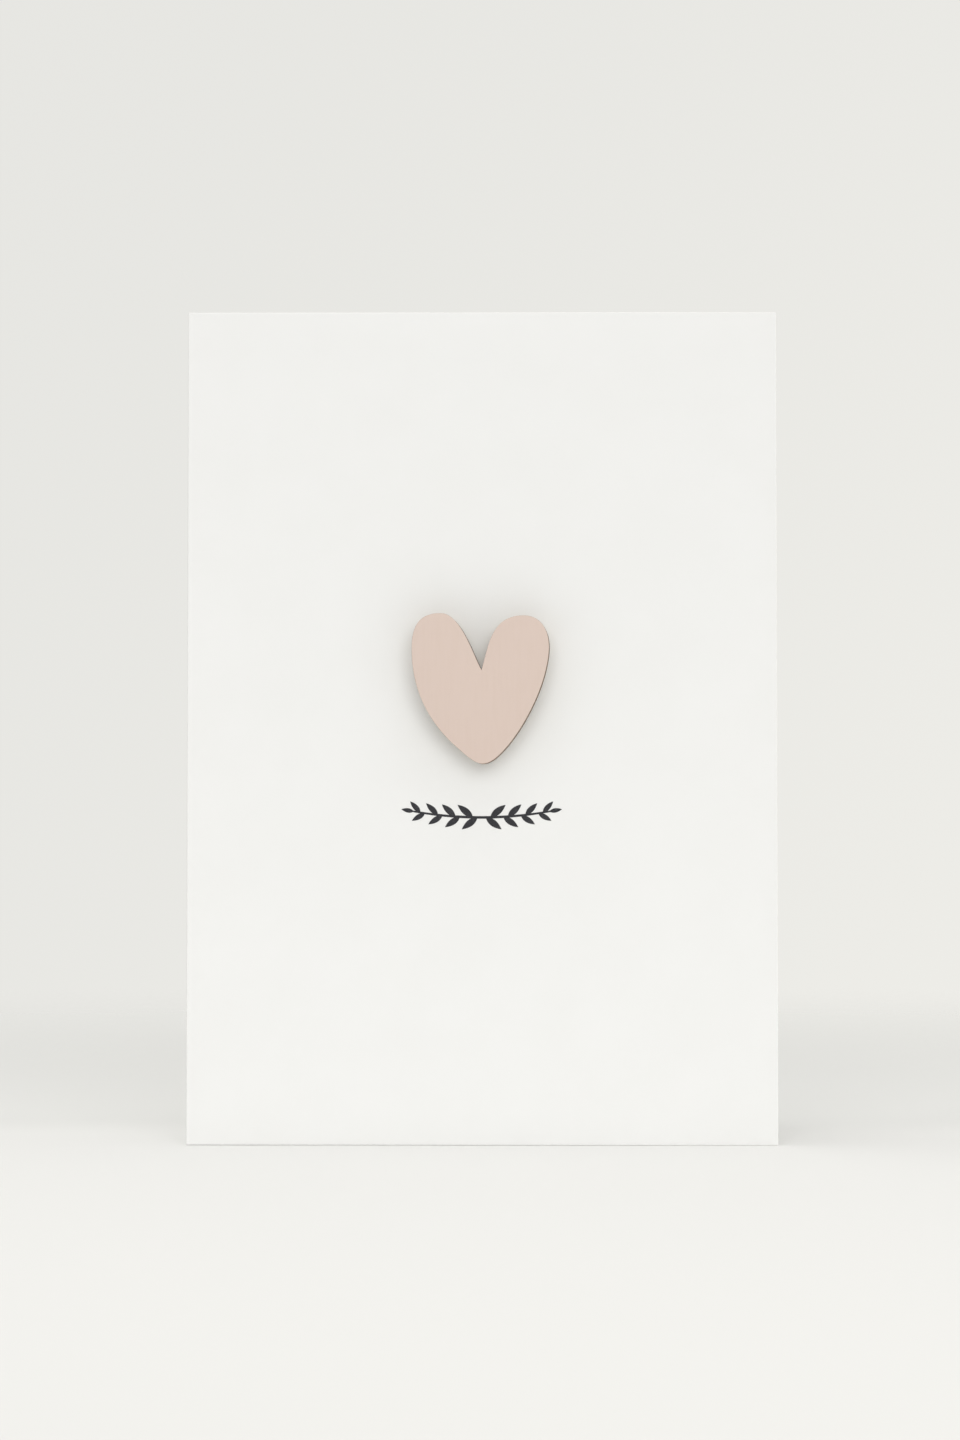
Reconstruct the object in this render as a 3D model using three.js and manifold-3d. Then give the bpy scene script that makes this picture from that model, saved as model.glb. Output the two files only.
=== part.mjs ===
// A folded greeting card that stands open like a book. A small wooden heart is held off the
// front by foam pads, with a printed sprig below it. Millimetres, +Z up, the front faces -Y.
// The origin is on the ground, under the middle of the standing card's box.

import * as THREE from "three";
import { mergeVertices } from "three/addons/utils/BufferGeometryUtils.js";
import Module from "manifold-3d";

const wasm = await Module();
wasm.setup();

// Driving dimensions
const CARD_WIDTH = 105; // folded, spine to free edge
const CARD_HEIGHT = 148;
const SHEET_THICKNESS = 0.4;
const OPENING = THREE.MathUtils.degToRad(25); // between the two leaves, as it stands
const SCORE_GAP = 0.3; // from the fold line to the end of the back leaf
const HEART_THICKNESS = 3;
const PAD_SIZE = 5;
const PAD_THICKNESS = 3;
const INK_THICKNESS = 0.04;

// Where things lie. The front leaf's inner face is the plane y = 0 until the last step.
const FOLD_X = -CARD_WIDTH / 2 + SHEET_THICKNESS;
const FRONT_FACE_Y = -SHEET_THICKNESS;
const HEART_BACK_Y = FRONT_FACE_Y - PAD_THICKNESS;
const LEAF_LENGTH = CARD_WIDTH - SHEET_THICKNESS;
const CARD_MIDDLE_Z = CARD_HEIGHT / 2;
const SPRIG_Z = CARD_MIDDLE_Z - 15.3;

// The pads' centres behind the heart, measured from the middle of the card's front.
const PAD_PLACES = {
  foam_pad_left: [-7.2, 13.2],
  foam_pad_right: [6.8, 13.2],
  foam_pad_tip: [0.2, 0.4],
};

const CARD_STOCK = { color: 0xf3f3ef, roughness: 0.85, metalness: 0 };
const BLUSH_PAINT = { color: 0xdecbbd, roughness: 0.6, metalness: 0 };
const WHITE_FOAM = { color: 0xeceae4, roughness: 0.95, metalness: 0 };
const BLACK_INK = { color: 0x34353a, roughness: 0.7, metalness: 0 };

function namedMesh(name, geometry, finish) {
  const mesh = new THREE.Mesh(geometry, new THREE.MeshStandardMaterial(finish));
  mesh.name = name;
  return mesh;
}

// A box given by its lowest corner and its size.
function cornerBox(low, size) {
  const geometry = new THREE.BoxGeometry(...size);
  geometry.translate(low[0] + size[0] / 2, low[1] + size[1] / 2, low[2] + size[2] / 2);
  return geometry;
}

// Stands a flat outline, drawn as x across and y up, against the plane y = backY. Its
// thickness grows towards -Y.
function standingPlate(outline, thickness, backY, middleZ, curveSegments) {
  const geometry = new THREE.ExtrudeGeometry(outline, {
    depth: thickness,
    bevelEnabled: false,
    curveSegments,
  });
  geometry.rotateX(Math.PI / 2);
  geometry.translate(0, backY, middleZ);
  return geometry;
}

// Leaves and fold ----------------------------------------------------------------------

function frontLeaf() {
  const geometry = cornerBox([FOLD_X, FRONT_FACE_Y, 0], [LEAF_LENGTH, SHEET_THICKNESS, CARD_HEIGHT]);
  return namedMesh("front_leaf", geometry, CARD_STOCK);
}

// The back leaf lies against the front leaf's inner face, then turns open about the fold.
function backLeaf() {
  const leaf = namedMesh(
    "back_leaf",
    cornerBox([SCORE_GAP, 0, 0], [LEAF_LENGTH - SCORE_GAP, SHEET_THICKNESS, CARD_HEIGHT]),
    CARD_STOCK,
  );
  const hinge = new THREE.Group();
  hinge.position.set(FOLD_X, 0, 0);
  hinge.rotation.z = OPENING;
  hinge.add(leaf);
  return hinge;
}

// The outer ply of the sheet, stretched round the scored line: a sector of a circle that
// runs from the end of the front leaf to the end of the back leaf.
function foldCrease() {
  const sector = new THREE.Shape();
  const fromFront = -Math.PI / 2;
  const toBack = OPENING + Math.PI / 2 - 2 * Math.PI;
  sector.moveTo(0, 0);
  sector.absarc(0, 0, SHEET_THICKNESS, fromFront, toBack, true);
  sector.closePath();
  const geometry = new THREE.ExtrudeGeometry(sector, {
    depth: CARD_HEIGHT,
    bevelEnabled: false,
    curveSegments: 8,
  });
  geometry.translate(FOLD_X, 0, 0);
  return namedMesh("fold_crease", geometry, CARD_STOCK);
}

// Heart and its pads --------------------------------------------------------------------

// A hand-cut heart: a narrow, leaning left lobe and a broader right one.
function heartOutline() {
  const heart = new THREE.Shape();
  heart.moveTo(0, 9.9);
  heart.bezierCurveTo(-1.6, 12.9, -3.7, 19.9, -7.2, 19.9);
  heart.bezierCurveTo(-11.1, 19.9, -12.3, 17.5, -12.3, 13.7);
  heart.bezierCurveTo(-12.3, 7.3, -10.1, 1.4, -4.5, -3.6);
  heart.bezierCurveTo(-0.9, -6.8, 0.4, -8.2, 4.1, -4.1);
  heart.bezierCurveTo(7.2, -0.7, 11.5, 6.9, 11.9, 13.5);
  heart.bezierCurveTo(12, 16.8, 10.6, 19.5, 7.4, 19.5);
  heart.bezierCurveTo(1.5, 19.5, 1.2, 13.7, 0, 9.9);
  return heart;
}

function heart() {
  const geometry = standingPlate(heartOutline(), HEART_THICKNESS, HEART_BACK_Y, CARD_MIDDLE_Z, 12);
  return namedMesh("heart", geometry, BLUSH_PAINT);
}

function foamPads() {
  return Object.entries(PAD_PLACES).map(([name, [x, up]]) => {
    const low = [x - PAD_SIZE / 2, HEART_BACK_Y, CARD_MIDDLE_Z + up - PAD_SIZE / 2];
    return namedMesh(name, cornerBox(low, [PAD_SIZE, PAD_THICKNESS, PAD_SIZE]), WHITE_FOAM);
  });
}

// Printed sprig -------------------------------------------------------------------------

const SPRIG_HALF_WIDTH = 14.3;
const STEM_HALF_LENGTH = 12.4; // the end leaves carry on from here
const STEM_BOW = 1.5; // how far its ends stand above its middle
const STEM_WIDTH = 0.45;
const LEAF_PAIRS_PER_SIDE = 4;
const INNER_LEAF_LENGTH = 3.5;
const OUTER_LEAF_LENGTH = 2.7;
const SPRIG_LEAF_SLIMNESS = 0.34; // width over length
const SPRIG_LEAF_TURN = THREE.MathUtils.degToRad(38); // away from the stem
const LOWER_LEAF_LAG = 0.8; // the lower leaf of a pair starts this much further in

// The stem's height at x: a shallow bow, lowest in the middle.
function stemHeight(x) {
  const share = x / SPRIG_HALF_WIDTH;
  return STEM_BOW * (share * share - 0.5);
}

// The stem's slope at x, as an angle.
function stemAngle(x) {
  return Math.atan((2 * STEM_BOW * x) / SPRIG_HALF_WIDTH ** 2);
}

function stemOutline() {
  const steps = 16;
  const lower = [];
  const upper = [];
  for (let i = 0; i <= steps; i += 1) {
    const x = STEM_HALF_LENGTH * ((2 * i) / steps - 1);
    lower.push(new THREE.Vector2(x, stemHeight(x) - STEM_WIDTH / 2));
    upper.unshift(new THREE.Vector2(x, stemHeight(x) + STEM_WIDTH / 2));
  }
  return new THREE.Shape([...lower, ...upper]);
}

// An almond-shaped leaf with its base at the origin and its tip along +X.
function almondOutline(length) {
  const width = length * SPRIG_LEAF_SLIMNESS;
  const almond = new THREE.Shape();
  almond.moveTo(0, 0);
  almond.quadraticCurveTo(length * 0.4, -width, length, 0);
  almond.quadraticCurveTo(length * 0.4, width, 0, 0);
  return almond;
}

function inkPiece(outline) {
  return standingPlate(outline, INK_THICKNESS, 0, 0, 6);
}

// A leaf on the right half of the stem, at x, turned away from it. side -1 mirrors it.
function sprigLeaf(side, x, length, turn) {
  const leaf = inkPiece(almondOutline(length));
  const rise = stemAngle(x) + turn;
  leaf.rotateY(side > 0 ? -rise : Math.PI + rise);
  leaf.translate(side * x, 0, stemHeight(x));
  return leaf;
}

// Pairs of leaves that shrink outwards, then one leaf at the stem's end.
function sprigLeaves(side) {
  const leaves = [sprigLeaf(side, STEM_HALF_LENGTH - 0.4, OUTER_LEAF_LENGTH * 0.85, 0)];
  for (let i = 0; i < LEAF_PAIRS_PER_SIDE; i += 1) {
    const x = (STEM_HALF_LENGTH * (i + 0.5)) / LEAF_PAIRS_PER_SIDE;
    const outwards = i / (LEAF_PAIRS_PER_SIDE - 1);
    const length = THREE.MathUtils.lerp(INNER_LEAF_LENGTH, OUTER_LEAF_LENGTH, outwards);
    leaves.push(sprigLeaf(side, x, length, SPRIG_LEAF_TURN));
    leaves.push(sprigLeaf(side, x - LOWER_LEAF_LAG, length, -SPRIG_LEAF_TURN));
  }
  return leaves;
}

function asSolid(geometry) {
  geometry.deleteAttribute("normal");
  geometry.deleteAttribute("uv");
  const merged = mergeVertices(geometry, 1e-5);
  return new wasm.Manifold(
    new wasm.Mesh({
      numProp: 3,
      vertProperties: merged.attributes.position.array,
      triVerts: new Uint32Array(merged.index.array),
    }),
  );
}

function asGeometry(solid) {
  const { vertProperties, triVerts } = solid.getMesh();
  const geometry = new THREE.BufferGeometry();
  geometry.setAttribute("position", new THREE.BufferAttribute(vertProperties, 3));
  geometry.setIndex(new THREE.BufferAttribute(triVerts, 1));
  return geometry;
}

function printedSprig() {
  const pieces = [inkPiece(stemOutline()), ...sprigLeaves(-1), ...sprigLeaves(1)];
  const ink = pieces.map(asSolid).reduce((joined, piece) => joined.add(piece));
  const geometry = asGeometry(ink);
  geometry.translate(0, FRONT_FACE_Y, SPRIG_Z);
  return namedMesh("printed_sprig", geometry, BLACK_INK);
}

// Assembly ------------------------------------------------------------------------------

const card = new THREE.Group();
card.add(frontLeaf(), backLeaf(), foldCrease(), heart(), ...foamPads(), printedSprig());

// Centres the box of the standing card on the origin, front to back.
const frontmost = HEART_BACK_Y - HEART_THICKNESS;
const rearmost = LEAF_LENGTH * Math.sin(OPENING) + SHEET_THICKNESS * Math.cos(OPENING);
card.position.y = -(frontmost + rearmost) / 2;

export default card;
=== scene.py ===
"""Looks of a folded greeting card that stands open like a book.

One sheet of stiff white card is scored and folded down the left. A blush-painted wooden
heart stands off its front on three foam pads, with a sprig printed below it. Everything is
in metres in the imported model's own frame: +Z up, and the card's front faces -Y.
"""

from __future__ import annotations

import logging
import math
from dataclasses import dataclass, field
from enum import Enum
from typing import Any, Iterator, Optional, Sequence, Union

import bmesh
import bpy
import numpy as np
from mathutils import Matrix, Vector
from mathutils.geometry import delaunay_2d_cdt


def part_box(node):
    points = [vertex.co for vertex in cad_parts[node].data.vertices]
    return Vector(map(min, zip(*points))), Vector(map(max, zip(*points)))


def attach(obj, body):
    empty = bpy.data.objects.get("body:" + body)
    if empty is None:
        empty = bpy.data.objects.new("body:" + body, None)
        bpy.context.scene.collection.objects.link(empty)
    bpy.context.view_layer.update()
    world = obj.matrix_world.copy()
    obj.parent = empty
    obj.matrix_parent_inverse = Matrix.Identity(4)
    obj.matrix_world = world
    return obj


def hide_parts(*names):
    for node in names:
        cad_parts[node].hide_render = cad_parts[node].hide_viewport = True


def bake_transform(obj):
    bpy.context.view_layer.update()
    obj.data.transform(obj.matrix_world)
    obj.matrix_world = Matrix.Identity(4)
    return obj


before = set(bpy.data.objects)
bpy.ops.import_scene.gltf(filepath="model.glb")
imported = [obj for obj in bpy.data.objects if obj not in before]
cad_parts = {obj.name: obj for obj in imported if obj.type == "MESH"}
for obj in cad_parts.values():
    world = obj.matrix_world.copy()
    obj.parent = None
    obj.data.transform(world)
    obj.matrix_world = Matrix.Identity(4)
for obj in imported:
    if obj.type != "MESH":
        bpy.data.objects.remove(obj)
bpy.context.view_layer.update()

log = logging.getLogger("greeting_card")

MM = 0.001
MICRON = 0.000001

Colour = tuple[float, float, float]
Triple = tuple[float, float, float]


def paint(red: float, green: float, blue: float) -> Colour:
    """Turns a colour mixed on the 0 to 255 sRGB display scale into linear light.

    Args:
        red: Red on the display scale.
        green: Green on the display scale.
        blue: Blue on the display scale.

    Returns:
        The same colour as linear reflectances.
    """
    shares = [channel / 255 for channel in (red, green, blue)]
    return tuple(
        share / 12.92 if share <= 0.04045 else ((share + 0.055) / 1.055) ** 2.4
        for share in shares
    )


# Shader writing ------------------------------------------------------------------------


@dataclass(frozen=True)
class Scalar:
    """A number that varies over a surface: a socket whose arithmetic writes Math nodes."""

    writer: NodeWriter
    socket: bpy.types.NodeSocket

    def __add__(self, other: Number) -> Scalar:
        """This plus the other."""
        return self.writer.maths("ADD", self, other)

    def __radd__(self, other: Number) -> Scalar:
        """The other plus this."""
        return self.writer.maths("ADD", other, self)

    def __sub__(self, other: Number) -> Scalar:
        """This less the other."""
        return self.writer.maths("SUBTRACT", self, other)

    def __rsub__(self, other: Number) -> Scalar:
        """The other less this."""
        return self.writer.maths("SUBTRACT", other, self)

    def __mul__(self, other: Number) -> Scalar:
        """This times the other."""
        return self.writer.maths("MULTIPLY", self, other)

    def __rmul__(self, other: Number) -> Scalar:
        """The other times this."""
        return self.writer.maths("MULTIPLY", other, self)


Number = Union[float, Scalar]


class NodeWriter:
    """Writes the nodes of one tree, and is the only place where a node is made."""

    def __init__(self, tree: bpy.types.NodeTree) -> None:
        """Starts on an emptied tree.

        Args:
            tree: The node tree to write.
        """
        self.tree = tree
        tree.nodes.clear()

    def node(
        self,
        kind: str,
        settings: Optional[dict[str, Any]] = None,
        inputs: Optional[dict[Union[str, int], Any]] = None,
    ) -> bpy.types.Node:
        """Makes one node.

        Args:
            kind: The node's type name.
            settings: Its own properties, set before its sockets.
            inputs: A number, colour, socket or Scalar for each input, by name or index.

        Returns:
            The new node.
        """
        made = self.tree.nodes.new(kind)
        for name, setting in (settings or {}).items():
            setattr(made, name, setting)
        for name, value in (inputs or {}).items():
            if isinstance(value, Scalar):
                value = value.socket
            if isinstance(value, bpy.types.NodeSocket):
                self.tree.links.new(value, made.inputs[name])
            else:
                made.inputs[name].default_value = value
        return made

    def maths(self, operation: str, *terms: Number) -> Scalar:
        """A Math node on one to three terms."""
        inputs = dict(enumerate(terms))
        return Scalar(self, self.node("ShaderNodeMath", {"operation": operation}, inputs).outputs[0])

    def layer(self, name: str) -> Scalar:
        """A number stored at the mesh's points."""
        return Scalar(self, self.node("ShaderNodeAttribute", {"attribute_name": name}).outputs["Fac"])

    def place(self, name: str) -> bpy.types.NodeSocket:
        """A position stored at the mesh's points, in metres."""
        return self.node("ShaderNodeAttribute", {"attribute_name": name}).outputs["Vector"]

    def stretched(self, place: bpy.types.NodeSocket, shares: Triple) -> bpy.types.NodeSocket:
        """A position with each axis scaled by its share, so that a pattern runs along one axis."""
        settings = {"operation": "MULTIPLY"}
        return self.node("ShaderNodeVectorMath", settings, {0: place, 1: shares}).outputs[0]

    def noise(self, place: bpy.types.NodeSocket, grain: float, detail: float = 2.0) -> Scalar:
        """Soft random tone from 0 to 1.

        Args:
            place: The position that it follows.
            grain: The size of its patches in metres.
            detail: How many finer octaves it has.

        Returns:
            The tone.
        """
        inputs = {"Vector": place, "Scale": 1 / grain, "Detail": detail}
        return Scalar(self, self.node("ShaderNodeTexNoise", None, inputs).outputs[0])

    def cells(self, place: bpy.types.NodeSocket, size: float) -> Scalar:
        """Distance to the nearest of many scattered points, in cells of about the given size."""
        inputs = {"Vector": place, "Scale": 1 / size}
        return Scalar(self, self.node("ShaderNodeTexVoronoi", None, inputs).outputs[0])

    def between(self, value: Number, low: float, high: float) -> Scalar:
        """A smooth step from 0 to 1.

        Args:
            value: The value that it follows.
            low: Where it is 0.
            high: Where it is 1, above or below low.

        Returns:
            The step.
        """
        inputs = {"Value": value, "From Min": low, "From Max": high}
        settings = {"interpolation_type": "SMOOTHSTEP"}
        return Scalar(self, self.node("ShaderNodeMapRange", settings, inputs).outputs[0])

    def tint(
        self,
        mask: Scalar,
        none: Union[Colour, bpy.types.NodeSocket],
        full: Union[Colour, bpy.types.NodeSocket],
    ) -> bpy.types.NodeSocket:
        """A colour that goes from one to the other with the mask.

        Args:
            mask: 0 for the first colour, 1 for the second.
            none: The first colour.
            full: The second colour.

        Returns:
            The mixed colour.
        """
        ends = [(*end, 1.0) if isinstance(end, tuple) else end for end in (none, full)]
        inputs = {0: mask, 6: ends[0], 7: ends[1]}
        return self.node("ShaderNodeMix", {"data_type": "RGBA"}, inputs).outputs[2]

    def relief(self, height: Scalar, depth: float) -> bpy.types.NodeSocket:
        """A surface normal for a height from 0 to 1 that stands for this depth in metres."""
        inputs = {"Height": height, "Distance": depth, "Strength": 1.0}
        return self.node("ShaderNodeBump", None, inputs).outputs[0]


def new_finish(name: str) -> tuple[bpy.types.Material, NodeWriter]:
    """Starts a material.

    Args:
        name: The material's name.

    Returns:
        The material and the writer of its nodes.
    """
    material = bpy.data.materials.new(name)
    material.use_nodes = True
    return material, NodeWriter(material.node_tree)


def close_finish(writer: NodeWriter, inputs: dict[str, Any]) -> None:
    """Ends a material with one surface shader.

    Args:
        writer: The material's writer.
        inputs: The surface's sockets.
    """
    surface = writer.node("ShaderNodeBsdfPrincipled", None, inputs)
    writer.node("ShaderNodeOutputMaterial", None, {"Surface": surface.outputs[0]})


# Finishes ------------------------------------------------------------------------------


@dataclass(frozen=True)
class CardStock:
    """Uncoated white card with a felt tooth, loose fibres, cut edges whitened partly as a painted
    highlight, and a rubbed score.
    """

    bright: Colour = (0.846, 0.848, 0.843)
    cloudy: Colour = (0.837, 0.839, 0.832)
    # the cut edges are whiter than the face: partly the bare cut fibre, partly a painted highlight
    # where the edges catch the light
    cut: Colour = (0.950, 0.946, 0.935)
    scored: Colour = (0.880, 0.879, 0.872)
    fibre: Colour = (0.780, 0.774, 0.755)
    cloud_size: float = 14 * MM
    tooth_grain: float = 0.28 * MM
    tooth_depth: float = 7 * MICRON
    fibre_width: float = 0.16 * MM
    crossing_width: float = 0.17 * MM
    fibre_stretch: float = 0.22
    fibre_share: float = 0.25
    crack_width: float = 0.35 * MM
    crack_stretch: float = 0.3
    specular: float = 0.25

    def material(self) -> bpy.types.Material:
        """Writes the material, which follows the flat sheet's own coordinates.

        Returns:
            The card's material.
        """
        material, w = new_finish("white_card_stock")
        place = w.place("flat_place")
        cloud = w.noise(place, self.cloud_size, 3.0)
        body = w.tint(w.between(cloud, 0.3, 0.7), self.cloudy, self.bright)

        along = w.stretched(place, (self.fibre_stretch, 1.0, 1.0))
        upright = w.stretched(place, (1.0, self.fibre_stretch, 1.0))
        strands = w.noise(along, self.fibre_width, 1.0)
        crossing = w.noise(upright, self.crossing_width, 1.0)
        fibres = w.between(strands * crossing, 0.34, 0.52) * self.fibre_share
        body = w.tint(fibres, body, self.fibre)

        edge = w.layer("cut_edge")
        fold = w.layer("fold_line")
        drawn_out = w.stretched(place, (1.0, self.crack_stretch, 1.0))
        cracks = w.between(w.noise(drawn_out, self.crack_width), 0.45, 0.7)
        # partly painted highlight: the cut edges take the whiter cut colour
        body = w.tint(edge, body, self.cut)
        body = w.tint(fold * (0.55 + 0.45 * cracks), body, self.scored)

        tooth = w.noise(place, self.tooth_grain, 3.0)
        height = 0.65 * tooth + 0.35 * strands - 0.8 * fold * cracks + 0.6 * edge * crossing
        roughness = 0.80 + 0.12 * tooth + 0.05 * edge
        close_finish(
            w,
            {
                "Base Color": body,
                "Roughness": roughness,
                "Specular IOR Level": self.specular,
                "Normal": w.relief(height, self.tooth_depth),
            },
        )
        return material


@dataclass(frozen=True)
class BlushPaint:
    """Laser-cut birch ply: matt blush paint on the face, charred edges and a raw back."""

    blush: Colour = (0.674, 0.550, 0.488)
    blush_thin: Colour = (0.666, 0.541, 0.477)
    char: Colour = (0.100, 0.070, 0.050)
    scorched: Colour = (0.280, 0.205, 0.150)
    veneer: Colour = (0.720, 0.590, 0.430)
    veneer_grain: Colour = (0.600, 0.460, 0.300)
    stain: Colour = (0.500, 0.370, 0.240)
    grain_width: float = 0.45 * MM
    grain_stretch: float = 0.07
    stipple_size: float = 0.22 * MM
    patch_size: float = 4 * MM
    streak_width: float = 0.14 * MM
    streak_stretch: float = 0.06
    paint_depth: float = 9 * MICRON
    specular: float = 0.3

    def material(self) -> bpy.types.Material:
        """Writes the material. The heart's skin layer is 0 on the face, 1 on the cut and 2 behind.

        Returns:
            The heart's material.
        """
        material, w = new_finish("blush_painted_wood")
        place = w.place("blank_place")
        skin = w.layer("skin")
        cut = w.between(skin, 0.25, 0.95)
        back = w.between(skin, 1.2, 1.9)

        grain = w.noise(w.stretched(place, (1.0, 1.0, self.grain_stretch)), self.grain_width, 3.0)
        stipple = w.noise(place, self.stipple_size)
        patches = w.noise(place, self.patch_size)
        thin = w.between(0.5 * grain + 0.25 * stipple + 0.25 * patches, 0.42, 0.62)
        face = w.tint(thin, self.blush, self.blush_thin)

        across = w.layer("cut_depth")
        drawn_out = w.stretched(w.place("cut_place"), (1.0, self.streak_stretch, 1.0))
        streaks = w.noise(drawn_out, self.streak_width)
        middle_ply = w.between(across, 0.32, 0.36) * w.between(across, 0.68, 0.64)
        burnt = w.between(0.55 * streaks + 0.35 * middle_ply + 0.15 * across, 0.25, 0.75)
        wall = w.tint(burnt, self.scorched, self.char)

        veneer = w.tint(w.between(grain, 0.38, 0.66), self.veneer, self.veneer_grain)
        browned = w.between(w.layer("rim"), 0.2, 1.0)
        behind = w.tint(browned, veneer, self.stain)

        colour = w.tint(back, w.tint(cut, face, wall), behind)
        height = 0.55 * stipple + 0.30 * grain + 0.60 * cut * streaks
        roughness = 0.58 + 0.10 * stipple + 0.22 * cut
        close_finish(
            w,
            {
                "Base Color": colour,
                "Roughness": roughness,
                "Specular IOR Level": self.specular,
                "Normal": w.relief(height, self.paint_depth),
            },
        )
        return material


@dataclass(frozen=True)
class FoamTape:
    """White closed-cell foam between two films of clear adhesive, with painted shade in the foam's
    pores.
    """

    foam: Colour = (0.800, 0.790, 0.760)
    # painted shade: the darker tone in the foam's pore hollows
    pore_shade: Colour = (0.600, 0.590, 0.560)
    film: Colour = (0.700, 0.690, 0.650)
    cell: float = 0.16 * MM
    cell_depth: float = 30 * MICRON
    specular: float = 0.3

    def material(self) -> bpy.types.Material:
        """Writes the material. The pad's film layer is 1 on the adhesive and 0 on the foam.

        Returns:
            The foam pads' material.
        """
        material, w = new_finish("white_foam_tape")
        place = w.place("pad_place")
        film = w.layer("film")
        cells = w.cells(place, self.cell)
        # painted shade in the pore hollows, away from the film
        shaded_pores = w.between(cells, 0.55, 0.15) * (1 - film)
        body = w.tint(shaded_pores * 0.6, self.foam, self.pore_shade)
        body = w.tint(film * 0.8, body, self.film)
        close_finish(
            w,
            {
                "Base Color": body,
                "Roughness": 0.92 - 0.50 * film,
                "Specular IOR Level": self.specular,
                "Normal": w.relief((1 - film) * cells, self.cell_depth),
            },
        )
        return material


@dataclass(frozen=True)
class PrintedInk:
    """Charcoal ink on uncoated card: it dries matt and lets a little of the tooth through."""

    solid: Colour = (0.026, 0.026, 0.031)
    starved: Colour = (0.060, 0.060, 0.067)
    tooth_grain: float = 0.28 * MM
    tooth_depth: float = 6 * MICRON
    mottle_size: float = 1.6 * MM
    specular: float = 0.3

    def material(self) -> bpy.types.Material:
        """Writes the material.

        Returns:
            The ink's material.
        """
        material, w = new_finish("charcoal_ink")
        place = w.place("flat_place")
        tooth = w.noise(place, self.tooth_grain, 3.0)
        mottle = w.noise(place, self.mottle_size)
        starved = w.between(0.7 * tooth + 0.3 * mottle, 0.45, 0.75)
        close_finish(
            w,
            {
                "Base Color": w.tint(starved, self.solid, self.starved),
                "Roughness": 0.58 + 0.25 * tooth,
                "Specular IOR Level": self.specular,
                "Normal": w.relief(tooth, self.tooth_depth),
            },
        )
        return material


# Mesh making ---------------------------------------------------------------------------


@dataclass
class Shell:
    """The points, faces and point layers of one body, on their way to a mesh."""

    points: list[np.ndarray] = field(default_factory=list)
    faces: list[list[int]] = field(default_factory=list)
    layers: dict[str, list[np.ndarray]] = field(default_factory=dict)
    count: int = 0

    def add(self, points: np.ndarray, **layers: Union[float, np.ndarray]) -> np.ndarray:
        """Adds points.

        Args:
            points: One row for each point.
            **layers: A number, or a row, for each point or for all of them.

        Returns:
            The new points' indices.
        """
        total = len(points)
        self.points.append(np.asarray(points, float))
        for name, values in layers.items():
            values = np.asarray(values, float)
            if values.ndim == 0:
                values = np.full(total, float(values))
            self.layers.setdefault(name, []).append(values)
        first = self.count
        self.count += total
        return np.arange(first, self.count)

    def bands(self, rings: Sequence[np.ndarray]) -> None:
        """Joins each closed ring to the next one with four-sided faces.

        Args:
            rings: The rings' indices, all of the same length.
        """
        for ring, following in zip(rings, rings[1:]):
            for i in range(len(ring)):
                j = (i + 1) % len(ring)
                self.faces.append([ring[i], ring[j], following[j], following[i]])

    def closed(self, rings: Sequence[np.ndarray]) -> None:
        """Joins rings and closes the body with a face on the first and one on the last.

        Args:
            rings: The rings' indices, all of the same length.
        """
        self.faces.append(list(rings[0]))
        self.bands(rings)
        self.faces.append(list(rings[-1]))

    def made(self, name: str, material: bpy.types.Material, crease_deg: float) -> bpy.types.Object:
        """Makes the mesh, faces outwards, with every many-sided face cut into triangles.

        Args:
            name: The piece's name.
            material: Its finish.
            crease_deg: Edges sharper than this stay sharp.

        Returns:
            The new piece.
        """
        mesh = bpy.data.meshes.new(name)
        faces = [[int(i) for i in face] for face in self.faces]
        mesh.from_pydata(np.concatenate(self.points).tolist(), [], faces)
        for layer, parts in self.layers.items():
            values = np.concatenate(parts)
            kind, key = ("FLOAT", "value") if values.ndim == 1 else ("FLOAT_VECTOR", "vector")
            made = mesh.attributes.new(layer, kind, "POINT")
            made.data.foreach_set(key, values.astype(np.float32).ravel())
        body = bmesh.new()
        body.from_mesh(mesh)
        bmesh.ops.recalc_face_normals(body, faces=body.faces)
        bmesh.ops.triangulate(body, faces=[face for face in body.faces if len(face.verts) > 4])
        body.to_mesh(mesh)
        body.free()
        mesh.shade_smooth()
        mesh.set_sharp_from_angle(angle=math.radians(crease_deg))
        mesh.materials.append(material)
        piece = bpy.data.objects.new(name, mesh)
        bpy.context.scene.collection.objects.link(piece)
        return piece


def rounding(radius: float, steps: int) -> list[tuple[float, float]]:
    """The inset and depth of each ring round a rounded edge, past the face's own ring.

    Args:
        radius: The edge's radius.
        steps: How many rings it takes.

    Returns:
        One inset and depth for each ring; the last ring lies on the side.
    """
    turns = [math.radians(90 * (i + 1) / steps) for i in range(steps)]
    return [(radius * (1 - math.sin(turn)), radius * (1 - math.cos(turn))) for turn in turns]


# The folded sheet ----------------------------------------------------------------------


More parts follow.
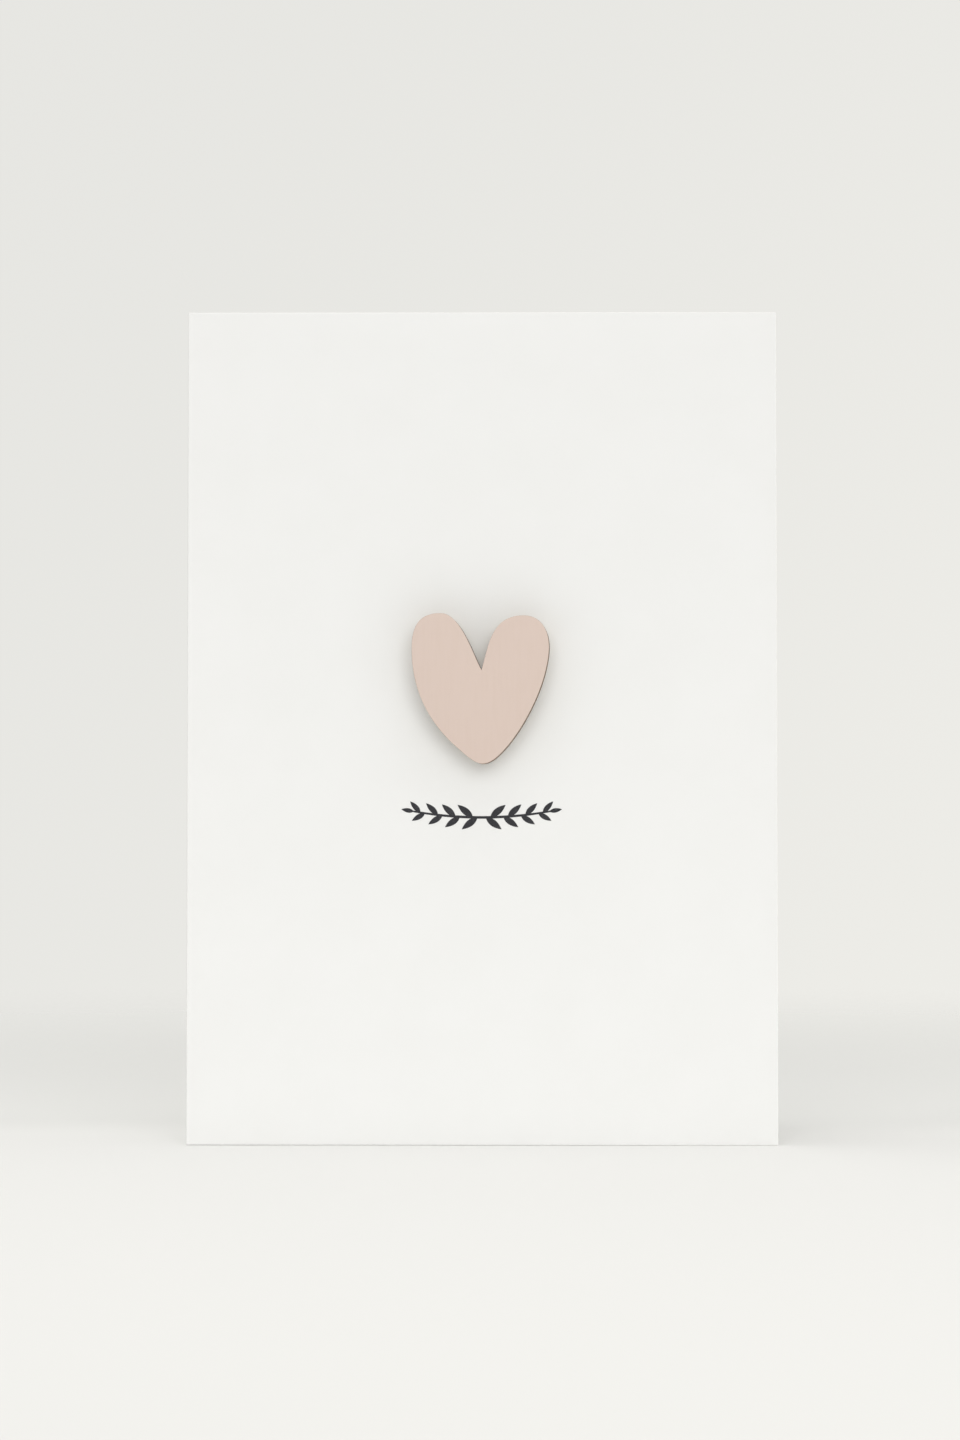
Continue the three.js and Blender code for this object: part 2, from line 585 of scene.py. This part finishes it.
@dataclass
class CardSheet:
    """One sheet of card, scored and folded, that carries on round its spine.

    A point on it has a flat place: how far it is along the sheet from the front leaf's free
    edge, how high it is, and how deep it is below the printed side.
    """

    opening_deg: float = 25.0
    edge_radius: float = 0.12 * MM
    edge_steps: int = 3
    end_clearance: float = 1.5  # no column lies nearer to an end than this many edge radii
    spine_steps: int = 14
    pinch: float = 0.72  # the spine's radius at its middle, as a share of the thickness
    inner_radius: float = 0.03 * MM
    leaf_columns: int = 26
    rows: int = 27
    near_fold: tuple[float, ...] = (0.1, 0.25, 0.5, 0.8, 1.2, 1.8, 3.0)  # mm from the fold
    front_curl: float = 0.25 * MM
    flat_until: float = 72 * MM  # the front leaf starts to curl this far from the fold
    back_bow: float = 0.7 * MM
    fold_reach: float = 0.7 * MM  # how wide the rubbed score is
    crease_deg: float = 35.0
    name: str = "folded_card_sheet"

    def __post_init__(self) -> None:
        """Takes the sheet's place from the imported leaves."""
        low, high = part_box("front_leaf")
        self.fold = np.array([low.x, high.y])
        self.thickness = high.y - low.y
        self.length = high.x - low.x
        self.height = high.z
        self.opening = math.radians(self.opening_deg)
        self._lay_out()

    def _lay_out(self) -> None:
        """Works out the sheet's section: outer and inner points at stations along it."""
        t = self.thickness
        near = [distance * MM for distance in self.near_fold]
        span = np.linspace(near[-1], self.length, self.leaf_columns)[1:]
        distances = np.concatenate([near, span])

        front = self._front_points(distances[::-1])
        turns = np.linspace(math.radians(270), self.opening + math.pi / 2, self.spine_steps + 1)
        tilt = np.sin(turns - self.opening / 2)
        radii = t * (self.pinch + (1 - self.pinch) * tilt**2)
        rays = np.stack([np.cos(turns), np.sin(turns)], axis=1)
        spine = (self.fold + rays * radii[:, None], self.fold + rays * self.inner_radius)
        back = self._back_points(distances)

        steps = np.linalg.norm(np.diff(spine[0], axis=0), axis=1)
        along_spine = self.length + np.concatenate([[0.0], np.cumsum(steps)])
        self.spine_middle = (along_spine[0] + along_spine[-1]) / 2
        self.total = along_spine[-1] + self.length
        stations = [self.length - distances[::-1], along_spine, along_spine[-1] + distances]
        self.along = np.concatenate(stations)
        self.outer = np.concatenate([front[0], spine[0], back[0]])
        self.inner = np.concatenate([front[1], spine[1], back[1]])

    def _front_points(self, distances: np.ndarray) -> tuple[np.ndarray, np.ndarray]:
        """The front leaf's outer and inner points at distances from the fold.

        Args:
            distances: How far each is from the fold.

        Returns:
            The outer points and the inner points, in plan.
        """
        past = np.clip(distances - self.flat_until, 0, None) / (self.length - self.flat_until)
        curl = self.front_curl * past**2
        inner = self.fold + np.stack([distances, curl], axis=1)
        return inner - [0, self.thickness], inner

    def _back_points(self, distances: np.ndarray) -> tuple[np.ndarray, np.ndarray]:
        """The back leaf's outer and inner points at distances from the fold.

        Args:
            distances: How far each is from the fold.

        Returns:
            The outer points and the inner points, in plan.
        """
        along = np.array([math.cos(self.opening), math.sin(self.opening)])
        outwards = np.array([-along[1], along[0]])
        bow = self.back_bow * np.sin(np.pi * distances / self.length)
        inner = self.fold + np.outer(distances, along) + np.outer(bow, outwards)
        return inner + self.thickness * outwards, inner

    def _points(self, flat: np.ndarray) -> np.ndarray:
        """Folds flat places up into the standing sheet.

        Args:
            flat: One row for each point: along, height and depth.

        Returns:
            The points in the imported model's frame.
        """
        share = flat[:, 2] / self.thickness
        plan = [
            np.interp(flat[:, 0], self.along, self.outer[:, axis]) * (1 - share)
            + np.interp(flat[:, 0], self.along, self.inner[:, axis]) * share
            for axis in (0, 1)
        ]
        return np.stack([plan[0], plan[1], flat[:, 1]], axis=1)

    def _add(self, shell: Shell, flat: np.ndarray, cut_edge: float) -> np.ndarray:
        """Adds flat places to the shell, folded up, with the layers that the finish reads.

        Args:
            shell: The body being made.
            flat: One row for each point: along, height and depth.
            cut_edge: 1 on the sheet's cut edges.

        Returns:
            The new points' indices.
        """
        from_fold = np.abs(flat[:, 0] - self.spine_middle) / self.fold_reach
        fold_line = np.exp(-(from_fold**2))
        return shell.add(
            self._points(flat), flat_place=flat, cut_edge=cut_edge, fold_line=fold_line
        )

    def build(self, material: bpy.types.Material) -> bpy.types.Object:
        """Makes the folded sheet and hides the imported leaves and crease.

        Args:
            material: The card stock.

        Returns:
            The folded sheet.
        """
        edge = self.edge_radius
        clear = edge * self.end_clearance
        inside = (self.along > clear) & (self.along < self.total - clear)
        columns = np.concatenate([[edge], self.along[inside], [self.total - edge]])
        rows = np.linspace(edge, self.height - edge, self.rows)
        across, up = np.meshgrid(columns, rows)
        shell = Shell()
        rims = []
        for depth in (0.0, self.thickness):
            flat = np.stack([across, up, np.full_like(up, depth)], axis=2).reshape(-1, 3)
            indices = self._add(shell, flat, 0.0).reshape(up.shape)
            for lower, upper in zip(indices, indices[1:]):
                for i in range(len(columns) - 1):
                    shell.faces.append([lower[i], lower[i + 1], upper[i + 1], upper[i]])
            rims.append(self._perimeter(indices))

        places = np.stack([self._perimeter(across), self._perimeter(up)], axis=1)
        outer = rounding(edge, self.edge_steps)
        inner = [(inset, self.thickness - depth) for inset, depth in reversed(outer)]
        rounds = [
            self._add(shell, self._inset(places, inset, depth), 1.0)
            for inset, depth in outer + inner
        ]
        shell.bands([rims[0], *rounds, rims[1]])

        sheet = shell.made(self.name, material, self.crease_deg)
        self._bend(sheet)
        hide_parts("front_leaf", "back_leaf", "fold_crease")
        return sheet

    @staticmethod
    def _perimeter(grid: np.ndarray) -> np.ndarray:
        """The values round a grid's border, in order."""
        return np.concatenate([grid[0, :], grid[1:, -1], grid[-1, -2::-1], grid[-2:0:-1, 0]])

    def _inset(self, places: np.ndarray, inset: float, depth: float) -> np.ndarray:
        """Moves the face's border out towards the sheet's own edge, and down by a depth.

        Args:
            places: The border's places along and up the sheet.
            inset: How far in from the sheet's edge the ring runs.
            depth: How far below the printed side it lies.

        Returns:
            One flat place for each point of the ring.
        """
        moved = places.copy()
        for axis, size in ((0, self.total), (1, self.height)):
            at_low_end = np.isclose(places[:, axis], self.edge_radius)
            at_high_end = np.isclose(places[:, axis], size - self.edge_radius)
            moved[at_low_end, axis] = inset
            moved[at_high_end, axis] = size - inset
        return np.column_stack([moved, np.full(len(moved), depth)])

    def _bend(self, sheet: bpy.types.Object) -> None:
        """Bakes the sheet's placement into its points.

        Args:
            sheet: The folded sheet.
        """
        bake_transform(sheet)


# The heart -----------------------------------------------------------------------------


@dataclass
class WoodenHeart:
    """A heart cut by laser from 3 mm ply, with a narrow left lobe and a broader right one."""

    # Bezier curves round the heart from its notch, in mm from the middle of the card's front.
    start: tuple[float, float] = (0.0, 9.9)
    curves: tuple[tuple[float, ...], ...] = (
        (-1.6, 12.9, -3.7, 19.9, -7.2, 19.9),
        (-11.1, 19.9, -12.3, 17.5, -12.3, 13.7),
        (-12.3, 7.3, -10.1, 1.4, -4.5, -3.6),
        (-0.9, -6.8, 0.4, -8.2, 4.1, -4.1),
        (7.2, -0.7, 11.5, 6.9, 11.9, 13.5),
        (12.0, 16.8, 10.6, 19.5, 7.4, 19.5),
        (1.5, 19.5, 1.2, 13.7, 0.0, 9.9),
    )
    samples_per_curve: int = 80
    point_spacing: float = 0.3 * MM
    edge_radius: float = 0.09 * MM
    edge_steps: int = 3
    wall_rings: int = 7
    slant: tuple[float, float] = (0.17 * MM, -0.03 * MM)  # the cut's drift, face to back
    browned_band: float = 0.8 * MM  # how far the heat has reached in over the back
    crease_deg: float = 35.0
    name: str = "wooden_heart"

    def __post_init__(self) -> None:
        """Takes the heart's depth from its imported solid, and its height from the card."""
        low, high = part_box("heart")
        self.face_y = low.y
        self.thickness = high.y - low.y
        self.middle_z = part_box("front_leaf")[1].z / 2

    def _outline(self) -> np.ndarray:
        """Points round the heart at an even spacing, with the notch kept sharp.

        Returns:
            One row for each point, in metres from the middle of the card's front.
        """
        here = np.array(self.start)
        samples = [here[None, :]]
        shares = np.linspace(0, 1, self.samples_per_curve)[1:, None]
        for curve in self.curves:
            first, second, last = np.array(curve).reshape(3, 2)
            samples.append(
                here * (1 - shares) ** 3
                + 3 * first * (1 - shares) ** 2 * shares
                + 3 * second * (1 - shares) * shares**2
                + last * shares**3
            )
            here = last
        path = np.concatenate(samples) * MM
        run = np.concatenate([[0], np.cumsum(np.linalg.norm(np.diff(path, axis=0), axis=1))])
        count = round(run[-1] / self.point_spacing)
        self.run = np.linspace(0, run[-1], count, endpoint=False)
        return np.stack([np.interp(self.run, run, path[:, axis]) for axis in (0, 1)], axis=1)

    @staticmethod
    def _outwards(outline: np.ndarray) -> np.ndarray:
        """The direction out of a closed outline at each of its points.

        Args:
            outline: The outline, which runs anticlockwise as it is seen from the front.

        Returns:
            One unit row for each point.
        """
        along = np.roll(outline, -1, axis=0) - np.roll(outline, 1, axis=0)
        normals = np.stack([along[:, 1], -along[:, 0]], axis=1)
        return normals / np.linalg.norm(normals, axis=1, keepdims=True)

    def _rings(self) -> Iterator[tuple[float, float, float, float]]:
        """The rings from the face to the back, whose rim the heat has browned.

        Yields:
            Each ring's inset, its depth, its skin (0 face, 1 cut edge, 2 back) and its rim.
        """
        edge = self.edge_radius
        yield edge, 0.0, 0.0, 1.0
        for i, (inset, depth) in enumerate(rounding(edge, self.edge_steps)):
            yield inset, depth, (i + 1) / self.edge_steps, 1.0
        for depth in np.linspace(edge, self.thickness - edge / 2, self.wall_rings)[1:]:
            yield 0.0, float(depth), 1.0, 1.0
        yield edge / 2, self.thickness, 2.0, 1.0
        yield edge / 2 + self.browned_band, self.thickness, 2.0, 0.0

    def build(self, material: bpy.types.Material) -> bpy.types.Object:
        """Makes the heart and rides it on the front leaf.

        Args:
            material: The painted ply.

        Returns:
            The heart.
        """
        outline = self._outline()
        outwards = self._outwards(outline)
        shell = Shell()
        rings = []
        for inset, depth, skin, rim in self._rings():
            share = depth / self.thickness
            flat = outline - outwards * inset + np.array(self.slant) * share
            depths = np.full(len(flat), depth)
            up = self.middle_z + flat[:, 1]
            points = np.column_stack([flat[:, 0], self.face_y + depths, up])
            run = np.column_stack([self.run, depths, np.zeros(len(flat))])
            ring = shell.add(
                points, blank_place=points, cut_place=run, cut_depth=share, skin=skin, rim=rim
            )
            rings.append(ring)
        shell.closed(rings)
        heart = shell.made(self.name, material, self.crease_deg)
        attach(heart, "front")
        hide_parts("heart")
        return heart


# Foam pads -----------------------------------------------------------------------------


@dataclass
class FoamPad:
    """A square of double-sided foam tape, squeezed a little between the card and the heart."""

    node: str
    corner_radius: float = 0.35 * MM
    corner_steps: int = 6
    side_steps: int = 8
    film: float = 0.05 * MM
    waist: float = 0.22 * MM  # how far the foam is pulled in where it meets the film
    bulge: float = 0.8  # how much of that its middle makes up again
    raggedness: float = 0.05 * MM
    layers: int = 15
    crease_deg: float = 50.0

    def __post_init__(self) -> None:
        """Takes the pad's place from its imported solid."""
        self.low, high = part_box(self.node)
        self.centre = (self.low + high) / 2
        self.half = (high.x - self.low.x) / 2
        self.thickness = high.y - self.low.y

    def _outline(self) -> np.ndarray:
        """A square outline with round corners.

        Returns:
            One row for each point.
        """
        half, radius = self.half, self.corner_radius
        points = []
        for corner in range(4):
            heading = corner * math.pi / 2
            cos, sin = math.cos(heading), math.sin(heading)
            turn = np.array([[cos, -sin], [sin, cos]])
            side = np.linspace(-(half - radius), half - radius, self.side_steps, endpoint=False)
            straight = np.column_stack([np.full(self.side_steps, half), side])
            sweep = np.linspace(0, math.pi / 2, self.corner_steps, endpoint=False)
            bend = (half - radius) + radius * np.column_stack([np.cos(sweep), np.sin(sweep)])
            points.append(np.concatenate([straight, bend]) @ turn.T)
        return np.concatenate(points)

    def _levels(self) -> Iterator[tuple[float, float, bool]]:
        """The pad's layers from the heart to the card.

        Yields:
            Each layer's depth, how far its sides are pulled in, and whether it is film.
        """
        yield 0.0, 0.0, True
        yield self.film, 0.0, True
        for share in np.linspace(0, 1, self.layers):
            depth = self.film + share * (self.thickness - 2 * self.film)
            yield depth, self.waist * (1 - self.bulge * math.sin(math.pi * share)), False
        yield self.thickness - self.film, 0.0, True
        yield self.thickness, 0.0, True

    def build(self, material: bpy.types.Material, seed: int) -> bpy.types.Object:
        """Makes the pad and rides it on the front leaf.

        Args:
            material: The foam.
            seed: Picks the ragged cut of its sides.

        Returns:
            The pad.
        """
        outline = self._outline()
        random = np.random.default_rng(seed)
        shell = Shell()
        rings = []
        for depth, pull, is_film in self._levels():
            flat = outline * (1 - pull / self.half)
            if not is_film:
                flat = flat * (1 - self.raggedness / self.half * random.random((len(flat), 1)))
            across, up = self.centre.x + flat[:, 0], self.centre.z + flat[:, 1]
            points = np.column_stack([across, np.full(len(flat), self.low.y + depth), up])
            rings.append(shell.add(points, pad_place=points, film=float(is_film)))
        shell.closed(rings)
        name = self.node.replace("foam_pad", "foam_tape_pad")
        pad = shell.made(name, material, self.crease_deg)
        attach(pad, "front")
        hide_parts(self.node)
        return pad


# Printed sprig -------------------------------------------------------------------------

TRIANGLES_INSIDE = 1  # what the triangulation returns: the triangles inside the outlines


class Side(Enum):
    """Which half of the sprig a leaf grows on."""

    LEFT = -1
    RIGHT = 1


@dataclass
class PrintedSprig:
    """A leafy sprig printed below the heart: a bowed stem with pairs of almond leaves."""

    half_width: float = 14.3 * MM
    stem_half_length: float = 12.4 * MM
    stem_bow: float = 1.5 * MM
    stem_width: float = 0.45 * MM
    stem_taper: float = 0.35
    pairs_per_side: int = 4
    inner_leaf: float = 3.5 * MM
    outer_leaf: float = 2.7 * MM
    end_leaf_share: float = 0.85
    end_leaf_overlap: float = 0.4 * MM
    slimness: float = 0.34
    belly: float = 0.4  # how far along a leaf its sides are drawn out
    leaf_turn_deg: float = 38.0
    lower_leaf_lag: float = 0.8 * MM
    below_middle: float = 15.3 * MM
    midrib_gap: float = 0.13 * MM
    midrib: tuple[float, float] = (0.20, 0.80)  # where the unprinted midrib runs
    midrib_steps: int = 9
    leaf_steps: int = 16
    stem_steps: int = 48
    weld_mm: float = 1e-4  # points nearer than this become one
    crease_deg: float = 30.0
    name: str = "printed_leaf_sprig"

    def _height(self, x: float) -> float:
        """The stem's height at x: a shallow bow, lowest in the middle."""
        return self.stem_bow * ((x / self.half_width) ** 2 - 0.5)

    def _angle(self, x: float) -> float:
        """The stem's slope at x, as an angle."""
        return math.atan(2 * self.stem_bow * x / self.half_width**2)

    def _stem(self) -> np.ndarray:
        """The stem's outline, which tapers a little towards its ends.

        Returns:
            One row for each point.
        """
        x = np.linspace(-self.stem_half_length, self.stem_half_length, self.stem_steps)
        middle = np.array([self._height(value) for value in x])
        half = self.stem_width / 2 * (1 - self.stem_taper * (x / self.stem_half_length) ** 2)
        lower = np.column_stack([x, middle - half])
        upper = np.column_stack([x, middle + half])[::-1]
        return np.concatenate([lower, upper])

    def _half_leaf(self, length: float, upper: bool) -> np.ndarray:
        """One side of a leaf's blade, from its base at the origin, with the midrib left bare.

        Args:
            length: The leaf's length.
            upper: Whether it is the upper side.

        Returns:
            One row for each point.
        """
        share = np.linspace(0, 1, self.leaf_steps)
        x = length * (2 * self.belly * share * (1 - share) + share**2)
        y = length * self.slimness * 2 * share * (1 - share)
        start, end = self.midrib
        inner = np.linspace(end, start, self.midrib_steps)
        gap = self.midrib_gap / 2 * np.sin(np.pi * (inner - start) / (end - start))
        rib = np.column_stack([inner * length, gap])
        blade = np.concatenate([np.column_stack([x, y]), rib])
        return blade if upper else blade * [1, -1]

    def _leaf(self, side: Side, x: float, length: float, turn: float) -> list[np.ndarray]:
        """Both sides of a leaf, placed on the stem.

        Args:
            side: Which half of the sprig it grows on.
            x: How far along that half its base is.
            length: Its length.
            turn: How far it turns away from the stem.

        Returns:
            The two outlines.
        """
        rise = self._angle(x) + turn
        spin = np.array([[math.cos(rise), math.sin(rise)], [-math.sin(rise), math.cos(rise)]])
        base = np.array([x, self._height(x)])
        halves = [self._half_leaf(length, upper) @ spin + base for upper in (True, False)]
        return [half * [side.value, 1] for half in halves]

    def _outlines(self) -> list[np.ndarray]:
        """The stem and every leaf.

        Returns:
            Outlines that may overlap.
        """
        turn = math.radians(self.leaf_turn_deg)
        outlines = [self._stem()]
        for side in Side:
            end = self.stem_half_length - self.end_leaf_overlap
            outlines += self._leaf(side, end, self.outer_leaf * self.end_leaf_share, 0.0)
            for i in range(self.pairs_per_side):
                x = self.stem_half_length * (i + 0.5) / self.pairs_per_side
                share = i / (self.pairs_per_side - 1)
                length = self.inner_leaf + (self.outer_leaf - self.inner_leaf) * share
                outlines += self._leaf(side, x, length, turn)
                outlines += self._leaf(side, x - self.lower_leaf_lag, length, -turn)
        return outlines

    def _joined(self) -> tuple[np.ndarray, list[tuple[int, ...]]]:
        """Joins the outlines into one flat area.

        Returns:
            The points that it uses, and its triangles by index.
        """
        points: list[Vector] = []
        loops: list[list[int]] = []
        for outline in self._outlines():
            loops.append(list(range(len(points), len(points) + len(outline))))
            points += [Vector(point / MM) for point in outline]
        triangulated = delaunay_2d_cdt(points, [], loops, TRIANGLES_INSIDE, self.weld_mm)
        merged, _, faces, _, _, sources = triangulated
        inked = [face for face, source in zip(faces, sources) if source]
        used = sorted({i for face in inked for i in face})
        renumbered = {old: new for new, old in enumerate(used)}
        triangles = [tuple(renumbered[i] for i in face) for face in inked]
        return np.array([tuple(merged[i]) for i in used]) * MM, triangles

    @staticmethod
    def _rim(triangles: list[tuple[int, ...]]) -> list[tuple[int, int]]:
        """The edges of a flat area that lie on its rim.

        Args:
            triangles: The area's triangles, which all turn the same way.

        Returns:
            Each edge, in its triangle's order.
        """
        edges = [edge for face in triangles for edge in zip(face, face[1:] + face[:1])]
        inner = {(b, a) for a, b in edges}
        return [edge for edge in edges if edge not in inner]

    def build(self, material: bpy.types.Material) -> bpy.types.Object:
        """Makes the ink's film and rides it on the front leaf.

        Args:
            material: The ink.

        Returns:
            The printed sprig.
        """
        low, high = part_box("printed_sprig")
        flat, triangles = self._joined()
        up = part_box("front_leaf")[1].z / 2 - self.below_middle + flat[:, 1]
        shell = Shell()
        sides = []
        for y in (low.y, high.y):
            points = np.column_stack([flat[:, 0], np.full(len(flat), y), up])
            sides.append(shell.add(points, flat_place=points[:, [0, 2, 1]]))
        top, under = sides
        for face in triangles:
            shell.faces.append([top[i] for i in face])
            shell.faces.append([under[i] for i in reversed(face)])
        for a, b in self._rim(triangles):
            shell.faces.append([top[b], top[a], under[a], under[b]])
        sprig = shell.made(self.name, material, self.crease_deg)
        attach(sprig, "front")
        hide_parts("printed_sprig")
        return sprig


# Studio --------------------------------------------------------------------------------


@dataclass(frozen=True)
class Softbox:
    """A light with a soft front, aimed at the card's middle."""

    name: str
    place: Triple
    width: float
    height: float
    watts: float
    colour: Colour = (1.0, 0.995, 0.975)
    aim: Triple = (0.0, -0.02, 0.07)

    def hang(self, scene: bpy.types.Scene) -> None:
        """Adds the light to the scene.

        Args:
            scene: The scene that it lights.
        """
        data = bpy.data.lights.new(self.name, "AREA")
        data.shape = "RECTANGLE"
        data.size = self.width
        data.size_y = self.height
        data.energy = self.watts
        data.color = self.colour
        light = bpy.data.objects.new(self.name, data)
        light.location = self.place
        heading = Vector(self.aim) - light.location
        light.rotation_euler = heading.to_track_quat("-Z", "Y").to_euler()
        scene.collection.objects.link(light)


@dataclass
class Studio:
    """A pale table top that runs out into a plain pale surround, lit softly from the front."""

    camera_right: float = 4.1 * MM
    camera_distance: float = 598.8 * MM  # from the card's front
    camera_height: float = 55.7 * MM
    camera_pitch_deg: float = 1.87
    camera_yaw_deg: float = 0.42
    lens_mm: float = 84.3
    sensor_mm: float = 36.0

    surround_dim: Colour = paint(231, 230.5, 226.5)
    surround_bright: Colour = paint(238, 237, 232)
    surround_tilt: Triple = (0.5, 1.8, -1.2)  # its brightness ahead, per right and per up
    room: Colour = (0.54, 0.536, 0.525)  # the surround in front of the card
    room_start: float = 0.15  # headings go from 1, behind the card, to -1, in front of it
    room_full: float = -0.5
    table: Colour = (0.895, 0.893, 0.885)
    # painted shade: the table is darker just behind the card, standing in for the card's shadow there
    shaded_table_behind: Colour = (0.840, 0.841, 0.832)
    table_roughness: float = 0.9
    table_specular: float = 0.1
    table_radius: float = 2.5
    table_segments: int = 96
    table_drop: float = 0.08 * MM
    change_start: float = 0 * MM  # where the table's painted shade starts, behind the card
    change_end: float = 34 * MM
    fade_start: float = 0.12
    fade_end: float = 0.60

    key: Softbox = Softbox("key", (0.06, -1.50, 0.52), width=1.3, height=0.8, watts=10.4)
    top: Softbox = Softbox("top", (0.0, -0.20, 1.35), width=1.0, height=1.0, watts=3.1)

    def build(self) -> None:
        """Sets up the camera, the surround, the table and the light."""
        scene = bpy.context.scene
        scene.view_settings.view_transform = "Standard"
        self._camera(scene)
        self._surround(scene)
        self._table(scene)
        self.key.hang(scene)
        self.top.hang(scene)

    def _camera(self, scene: bpy.types.Scene) -> None:
        """Places the camera a little below the card's middle, looking slightly up.

        Args:
            scene: The scene that it films.
        """
        data = bpy.data.cameras.new("camera")
        data.lens = self.lens_mm
        data.sensor_width = self.sensor_mm
        data.clip_start = 10 * MM
        data.clip_end = 50.0
        camera = bpy.data.objects.new("camera", data)
        front_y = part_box("front_leaf")[0].y
        place = (self.camera_right, front_y - self.camera_distance, self.camera_height)
        camera.location = place
        pitch = math.radians(90 + self.camera_pitch_deg)
        camera.rotation_euler = (pitch, 0.0, math.radians(self.camera_yaw_deg))
        scene.collection.objects.link(camera)
        scene.camera = camera

    def _surround(self, scene: bpy.types.Scene) -> None:
        """Paints the surround: brighter low down and to the right, dim in front of the card.

        Args:
            scene: The scene that it lights.
        """
        world = bpy.data.worlds.new("surround")
        world.use_nodes = True
        w = NodeWriter(world.node_tree)
        heading = w.node("ShaderNodeTexCoord").outputs["Generated"]
        parts = w.node("ShaderNodeSeparateXYZ", None, {0: heading})
        right, back, up = (Scalar(w, output) for output in parts.outputs)
        ahead, per_right, per_up = self.surround_tilt
        bright = w.between(ahead + per_right * right + per_up * up, 0.0, 1.0)
        tone = w.tint(bright, self.surround_dim, self.surround_bright)
        tone = w.tint(w.between(back, self.room_start, self.room_full), tone, self.room)
        light = w.node("ShaderNodeBackground", None, {"Color": tone, "Strength": 1.0})
        w.node("ShaderNodeOutputWorld", None, {"Surface": light.outputs[0]})
        scene.world = world

    def _table(self, scene: bpy.types.Scene) -> None:
        """Lays the table top, which fades out into the surround far from the card.

        Args:
            scene: The scene that it stands in.
        """
        mesh = bpy.data.meshes.new("table_top")
        body = bmesh.new()
        bmesh.ops.create_circle(
            body, cap_ends=True, segments=self.table_segments, radius=self.table_radius
        )
        body.to_mesh(mesh)
        body.free()
        mesh.materials.append(self._table_finish())
        table = bpy.data.objects.new("table_top", mesh)
        table.location.z = -self.table_drop
        scene.collection.objects.link(table)

    def _table_finish(self) -> bpy.types.Material:
        """Writes the table top's material, which is darker just behind the card as painted shade and
        goes clear far from the card.

        Returns:
            The material.
        """
        material, w = new_finish("pale_table")
        place = w.node("ShaderNodeTexCoord").outputs["Object"]
        parts = w.node("ShaderNodeSeparateXYZ", None, {0: place})
        # painted shade behind the card
        behind = w.between(Scalar(w, parts.outputs[1]), self.change_start, self.change_end)
        tone = w.tint(behind, self.table, self.shaded_table_behind)
        length = w.node("ShaderNodeVectorMath", {"operation": "LENGTH"}, {0: place})
        fade = w.between(Scalar(w, length.outputs[1]), self.fade_start, self.fade_end)
        surface = {
            "Base Color": tone,
            "Roughness": self.table_roughness,
            "Specular IOR Level": self.table_specular,
        }
        top = w.node("ShaderNodeBsdfPrincipled", None, surface).outputs[0]
        clear = w.node("ShaderNodeBsdfTransparent").outputs[0]
        shown = w.node("ShaderNodeMixShader", None, {0: fade, 1: top, 2: clear})
        w.node("ShaderNodeOutputMaterial", None, {"Surface": shown.outputs[0]})
        return material


def main() -> None:
    """Builds the studio, then each piece of the card in order."""
    logging.basicConfig(level=logging.INFO, format="%(name)s: %(message)s")
    Studio().build()
    pieces = [
        CardSheet().build(CardStock().material()),
        WoodenHeart().build(BlushPaint().material()),
        PrintedSprig().build(PrintedInk().material()),
    ]
    foam = FoamTape().material()
    for seed, node in enumerate(("foam_pad_left", "foam_pad_right", "foam_pad_tip")):
        pieces.append(FoamPad(node).build(foam, seed))
    for piece in pieces:
        log.info("%s: %d faces", piece.name, len(piece.data.polygons))


if __name__ == "__main__":
    main()
